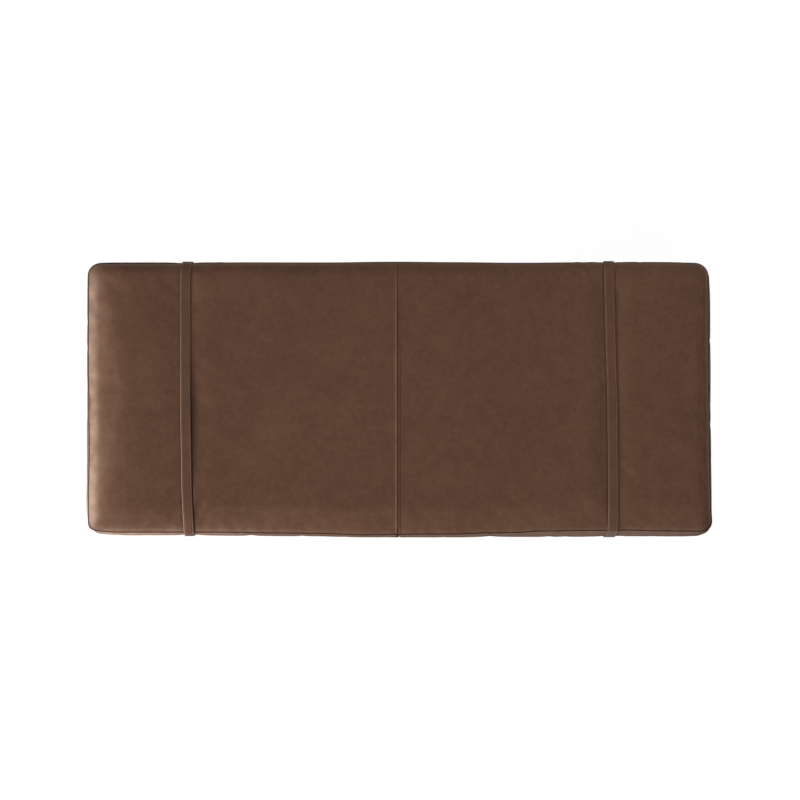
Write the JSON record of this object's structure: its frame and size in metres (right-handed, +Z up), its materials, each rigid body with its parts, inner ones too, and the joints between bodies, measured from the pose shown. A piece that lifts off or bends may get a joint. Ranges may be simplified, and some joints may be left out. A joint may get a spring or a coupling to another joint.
{
  "type": "upholstered bench",
  "caption": "Long low bench: boxed leather cushion with a seam across its middle, held by buckled leather straps to a wooden frame on tapered legs.",
  "frame": {"origin": "on the floor under the middle of the seat", "axes": "+X along the seat to its right end, +Y to the back, +Z up"},
  "size_m": [1.359, 0.6016, 0.4515],
  "materials": {
    "cover_leather": "brown pull-up leather, satin",
    "strap_leather": "brown strap leather with stitched edges",
    "dark_wood": "dark stained hardwood, satin lacquer",
    "plain_wood": "bare softwood",
    "plywood": "bare birch plywood",
    "fastener_steel": "zinc plated",
    "insert_brass": "plain brass",
    "nylon": "black nylon",
    "foam": "open-cell foam",
    "fibre": "white fibre sheet",
    "under_cloth": "dark leather underside",
    "zip_tape": "woven tape",
    "zip_coil": "nylon coil",
    "zip_metal": "antique brass finish",
    "buckle_bronze": "dark antique bronze finish"
  },
  "bodies": {
    "root": {"leg_front_left": "dark_wood", "leg_front_right": "dark_wood", "leg_back_left": "dark_wood", "leg_back_right": "dark_wood", "rail_front": "dark_wood", "rail_back": "dark_wood", "rail_left": "dark_wood", "rail_right": "dark_wood", "block_front_left": "plain_wood", "block_front_right": "plain_wood", "block_back_left": "plain_wood", "block_back_right": "plain_wood", "leg_bolts": "fastener_steel", "leg_washers": "fastener_steel", "leg_nuts": "fastener_steel", "block_screws": "fastener_steel", "cleat_front": "plain_wood", "cleat_back": "plain_wood", "cleat_screws": "fastener_steel", "bearer_left": "plain_wood", "bearer_middle": "plain_wood", "bearer_right": "plain_wood", "bearer_screws": "fastener_steel", "deck": "plywood", "deck_screws": "fastener_steel", "foot_inserts": "insert_brass", "foam_core": "foam", "fibre_wrap": "fibre", "bottom_panel": "under_cloth", "top_panel_left": "cover_leather", "top_panel_right": "cover_leather", "boxing_left": "cover_leather", "boxing_right": "cover_leather", "zip_strip_upper": "cover_leather", "zip_strip_lower": "cover_leather", "zip_tapes": "zip_tape", "zip_coil": "zip_coil", "strap_left": "strap_leather", "strap_right": "strap_leather", "buckle_left": "buckle_bronze", "buckle_right": "buckle_bronze", "keeper_left": "strap_leather", "keeper_right": "strap_leather", "strap_rivets": "buckle_bronze"},
    "foot_front_left": {"foot_stem_front_left": "fastener_steel", "foot_pad_front_left": "nylon"},
    "foot_front_right": {"foot_stem_front_right": "fastener_steel", "foot_pad_front_right": "nylon"},
    "foot_back_left": {"foot_stem_back_left": "fastener_steel", "foot_pad_back_left": "nylon"},
    "foot_back_right": {"foot_stem_back_right": "fastener_steel", "foot_pad_back_right": "nylon"},
    "buckle_prong_left": {"prong_left": "buckle_bronze"},
    "buckle_prong_right": {"prong_right": "buckle_bronze"},
    "zip_slider_body": {"zip_slider": "zip_metal"},
    "zip_pull_body": {"zip_pull": "zip_metal"}
  },
  "joints": [
    {"name": "foot_front_left_adjust", "type": "slide", "parent": "root", "child": "foot_front_left", "axis": [0, 0, -1], "range_m": [0, 0.012]},
    {"name": "foot_front_right_adjust", "type": "slide", "parent": "root", "child": "foot_front_right", "axis": [0, 0, -1], "range_m": [0, 0.012]},
    {"name": "foot_back_left_adjust", "type": "slide", "parent": "root", "child": "foot_back_left", "axis": [0, 0, -1], "range_m": [0, 0.012]},
    {"name": "foot_back_right_adjust", "type": "slide", "parent": "root", "child": "foot_back_right", "axis": [0, 0, -1], "range_m": [0, 0.012]},
    {"name": "prong_left_hinge", "type": "hinge", "parent": "root", "child": "buckle_prong_left", "pos_m": [-0.458, 0, 0.2672], "axis": [1, 0, 0], "range_deg": [0, 95]},
    {"name": "prong_right_hinge", "type": "hinge", "parent": "root", "child": "buckle_prong_right", "pos_m": [0.458, 0, 0.2672], "axis": [1, 0, 0], "range_deg": [0, 95]},
    {"name": "zip_slide", "type": "slide", "parent": "root", "child": "zip_slider_body", "axis": [1, 0, 0], "range_m": [-0.67, 0]},
    {"name": "zip_pull_hinge", "type": "hinge", "parent": "zip_slider_body", "child": "zip_pull_body", "pos_m": [0.335, 0.2986, 0.38], "axis": [0, 0, -1], "range_deg": [0, 180]}
  ]
}
